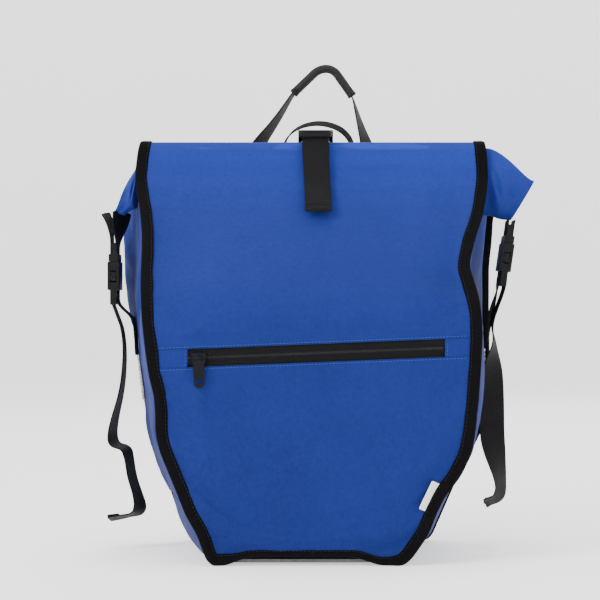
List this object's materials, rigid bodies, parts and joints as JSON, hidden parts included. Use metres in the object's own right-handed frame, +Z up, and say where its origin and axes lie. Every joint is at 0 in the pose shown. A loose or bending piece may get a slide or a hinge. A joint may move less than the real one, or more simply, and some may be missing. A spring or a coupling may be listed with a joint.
{
  "type": "pannier bag",
  "caption": "Roll-top cycle pannier bag with a zipped front pocket, side-release buckles, strap tails, a carrying handle and sprung rack hooks at the back.",
  "frame": {"origin": "middle of the flat base, on the surface the bag stands on", "axes": "+Z up, the zipped front faces -Y, the rack hooks face +Y, +X is to the right seen from the front"},
  "size_m": [0.4074, 0.2118, 0.4754],
  "materials": {
    "blue_cloth": "coated polyester weave, slight sheen",
    "black_cloth": "coated polyester weave",
    "lining": "thin lining",
    "binding": "woven bias tape",
    "webbing": "polypropylene webbing, 25 mm",
    "grip_rubber": "soft moulded sleeve",
    "zip_tape": "water-resistant zip tape",
    "zip_coil": "nylon coil",
    "zip_metal": "black lacquer",
    "board": "polyethylene sheet",
    "label": "blank woven label",
    "reflective": "reflective tape",
    "buckle_plastic": "moulded acetal",
    "hook_plastic": "moulded nylon",
    "insert_plastic": "moulded nylon",
    "rail_metal": "dark anodised",
    "steel": "zinc plated"
  },
  "bodies": {
    "bag": {"anchor_rail": "rail_metal", "back_panel": "black_cloth", "backboard": "board", "base_board": "board", "binding_back": "binding", "binding_front": "binding", "bottom_panel": "blue_cloth", "front_panel_lower": "blue_cloth", "front_panel_upper": "blue_cloth", "gusset_left": "blue_cloth", "gusset_right": "blue_cloth", "hang_loop": "webbing", "hook_inserts": "insert_plastic", "hook_left": "hook_plastic", "hook_rail": "rail_metal", "hook_right": "hook_plastic", "label_tag": "label", "latch_pins": "steel", "latch_springs": "steel", "left_buckle_plug": "buckle_plastic", "left_buckle_socket": "buckle_plastic", "left_roll_tab": "webbing", "left_side_strap": "webbing", "pocket_lining": "lining", "rail_screws": "steel", "reflectors": "reflective", "right_buckle_plug": "buckle_plastic", "right_buckle_socket": "buckle_plastic", "right_roll_tab": "webbing", "right_side_strap": "webbing", "roll_end_left": "blue_cloth", "roll_end_right": "blue_cloth", "roll_stiffener": "board", "roll_top": "blue_cloth", "top_buckle_plug": "buckle_plastic", "top_buckle_socket": "buckle_plastic", "top_roll_tab": "webbing", "top_strap": "webbing", "zip_coil": "zip_coil", "zip_end_tabs": "blue_cloth", "zip_tapes": "zip_tape"},
    "zip_slider": {"zip_slider": "zip_metal"},
    "zip_pull": {"zip_pull": "zip_metal"},
    "latch_left": {"latch_left": "hook_plastic"},
    "latch_right": {"latch_right": "hook_plastic"},
    "handle_yoke": {"handle_lower_straps": "webbing"},
    "handle_bow": {"handle_bow": "webbing", "handle_grip": "grip_rubber"},
    "anchor_slider": {"anchor_slider": "hook_plastic"},
    "anchor_hook": {"anchor_hook": "hook_plastic"},
    "left_buckle_prong_front": {"left_buckle_prong_front": "buckle_plastic"},
    "left_buckle_prong_rear": {"left_buckle_prong_rear": "buckle_plastic"},
    "right_buckle_prong_front": {"right_buckle_prong_front": "buckle_plastic"},
    "right_buckle_prong_rear": {"right_buckle_prong_rear": "buckle_plastic"},
    "top_buckle_prong_left": {"top_buckle_prong_left": "buckle_plastic"},
    "top_buckle_prong_right": {"top_buckle_prong_right": "buckle_plastic"}
  },
  "joints": [
    {"name": "zip_slide", "type": "slide", "parent": "bag", "child": "zip_slider", "axis": [0.9992, 0, 0.0401], "range_m": [0, 0.212]},
    {"name": "zip_pull_swing", "type": "hinge", "parent": "zip_slider", "child": "zip_pull", "pos_m": [-0.10291, -0.0857, 0.18695], "axis": [-0.9992, 0, -0.0401], "range_deg": [0, 100]},
    {"name": "handle_pull", "type": "slide", "parent": "bag", "child": "handle_yoke", "axis": [0, 0, 1], "range_m": [0, 0.00974]},
    {"name": "latch_left_open", "type": "hinge", "parent": "bag", "child": "latch_left", "pos_m": [-0.105, 0.0992, 0.301], "axis": [-1, 0, 0], "range_deg": [0, 75.5], "stiffness_Nm_per_rad": 0.02, "springref_deg": -17.19},
    {"name": "latch_right_open", "type": "hinge", "parent": "bag", "child": "latch_right", "pos_m": [0.105, 0.0992, 0.301], "axis": [-1, 0, 0], "range_deg": [0, 75.5], "stiffness_Nm_per_rad": 0.02, "springref_deg": -17.19},
    {"name": "handle_fold", "type": "hinge", "parent": "handle_yoke", "child": "handle_bow", "pos_m": [0, 0.09203, 0.345], "axis": [-1, 0, 0], "range_deg": [0, 140]},
    {"name": "anchor_slide", "type": "slide", "parent": "bag", "child": "anchor_slider", "axis": [1, 0, 0], "range_m": [-0.034, 0.034]},
    {"name": "anchor_swivel", "type": "hinge", "parent": "anchor_slider", "child": "anchor_hook", "pos_m": [0, 0.1, 0.11], "axis": [0, 1, 0], "range_deg": [-90, 90]},
    {"name": "left_buckle_prong_rear_squeeze", "type": "hinge", "parent": "bag", "child": "left_buckle_prong_rear", "pos_m": [-0.1895, 0.0333, 0.2763], "axis": [-1, 0, 0], "range_deg": [0, 13], "stiffness_Nm_per_rad": 0.3},
    {"name": "left_buckle_prong_front_squeeze", "type": "hinge", "parent": "bag", "child": "left_buckle_prong_front", "pos_m": [-0.1895, 0.0107, 0.2763], "axis": [1, 0, 0], "range_deg": [0, 13], "stiffness_Nm_per_rad": 0.3},
    {"name": "right_buckle_prong_front_squeeze", "type": "hinge", "parent": "bag", "child": "right_buckle_prong_front", "pos_m": [0.18741, 0.0107, 0.29379], "axis": [0.9895, 0, -0.1444], "range_deg": [0, 13], "stiffness_Nm_per_rad": 0.3},
    {"name": "right_buckle_prong_rear_squeeze", "type": "hinge", "parent": "bag", "child": "right_buckle_prong_rear", "pos_m": [0.18741, 0.0333, 0.29379], "axis": [-0.9895, 0, 0.1444], "range_deg": [0, 13], "stiffness_Nm_per_rad": 0.3},
    {"name": "top_buckle_prong_left_squeeze", "type": "hinge", "parent": "bag", "child": "top_buckle_prong_left", "pos_m": [-0.0078, 0.06215, 0.36716], "axis": [0, 0.866, 0.5], "range_deg": [0, 13], "stiffness_Nm_per_rad": 0.3},
    {"name": "top_buckle_prong_right_squeeze", "type": "hinge", "parent": "bag", "child": "top_buckle_prong_right", "pos_m": [0.0148, 0.06215, 0.36716], "axis": [0, -0.866, -0.5], "range_deg": [0, 13], "stiffness_Nm_per_rad": 0.3}
  ],
  "couplings": [
    {"joint": "latch_left_open", "follows": "handle_pull", "rad_per_m": 134.39},
    {"joint": "latch_right_open", "follows": "handle_pull", "rad_per_m": 134.39},
    {"joint": "left_buckle_prong_front_squeeze", "follows": "left_buckle_prong_rear_squeeze", "ratio": 1},
    {"joint": "right_buckle_prong_rear_squeeze", "follows": "right_buckle_prong_front_squeeze", "ratio": 1},
    {"joint": "top_buckle_prong_right_squeeze", "follows": "top_buckle_prong_left_squeeze", "ratio": 1}
  ]
}
